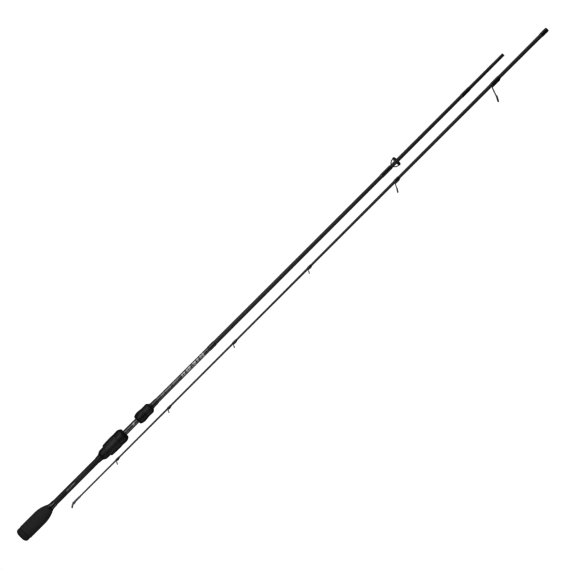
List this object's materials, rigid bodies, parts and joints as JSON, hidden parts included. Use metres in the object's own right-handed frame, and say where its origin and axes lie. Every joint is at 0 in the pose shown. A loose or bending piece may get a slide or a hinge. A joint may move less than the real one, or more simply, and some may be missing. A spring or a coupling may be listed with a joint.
{
  "type": "spinning rod",
  "caption": "Slim spinning rod taken down, its thin tip section with line guides lying beside the handle section with foam grips and a screw-locking reel seat.",
  "frame": {"origin": "centre of the butt cap's flat end, on the butt section's axis", "axes": "+X along the butt section from the butt end towards the tip, -Z the side on which the reel and the guides hang"},
  "size_m": [1.165, 0.0603, 0.0604],
  "materials": {
    "foam": "matte closed-cell foam",
    "cap": "matte rubber",
    "blank": "clear-coated carbon fibre",
    "seat": "satin moulded plastic",
    "wrap": "thread under glossy epoxy",
    "guide_frame": "dark plated steel",
    "guide_ring": "polished dark ceramic"
  },
  "bodies": {
    "butt_section": {"butt_blank": "blank", "butt_cap": "cap", "butt_grip": "foam", "butt_grip_check": "wrap", "rear_arbor": "foam", "seat_barrel": "seat", "fixed_hood": "seat", "front_arbor": "foam", "foregrip": "foam", "foregrip_check": "wrap", "label_wrap": "wrap", "butt_guide_frame": "guide_frame", "butt_guide_ring": "guide_ring", "butt_guide_wrap": "wrap", "ferrule_wrap": "wrap"},
    "moving_hood": {"moving_hood": "seat"},
    "lock_nut": {"lock_nut": "seat", "lock_nut_sleeve": "foam"},
    "ferrule_plug": {"ferrule_plug": "cap"},
    "tip_section": {"tip_blank": "blank", "socket_wrap": "wrap", "guide_1_frame": "guide_frame", "guide_1_ring": "guide_ring", "guide_1_wrap": "wrap", "guide_2_frame": "guide_frame", "guide_2_ring": "guide_ring", "guide_2_wrap": "wrap", "guide_3_frame": "guide_frame", "guide_3_ring": "guide_ring", "guide_3_wrap": "wrap", "guide_4_frame": "guide_frame", "guide_4_ring": "guide_ring", "guide_4_wrap": "wrap", "guide_5_frame": "guide_frame", "guide_5_ring": "guide_ring", "guide_5_wrap": "wrap", "guide_6_frame": "guide_frame", "guide_6_ring": "guide_ring", "guide_6_wrap": "wrap", "tip_top_frame": "guide_frame", "tip_top_ring": "guide_ring"}
  },
  "joints": [
    {"name": "hood_slide", "type": "slide", "parent": "butt_section", "child": "moving_hood", "axis": [-1, 0, 0], "range_m": [0, 0.0161]},
    {"name": "nut_turn", "type": "hinge", "parent": "moving_hood", "child": "lock_nut", "pos_m": [0.2, 0, 0], "axis": [-1, 0, 0], "range_deg": [0, 1440]},
    {"name": "ferrule_slide", "type": "slide", "parent": "butt_section", "child": "ferrule_plug", "axis": [-1, 0, 0], "range_m": [0, 0.068]},
    {"name": "section_swing", "type": "hinge", "parent": "ferrule_plug", "child": "tip_section", "pos_m": [1.1295, -0.0105, 0.0105], "axis": [0, 0.7071, 0.7071], "range_deg": [0, 180]}
  ],
  "couplings": [
    {"joint": "hood_slide", "follows": "nut_turn", "m_per_rad": 0.00063662}
  ]
}
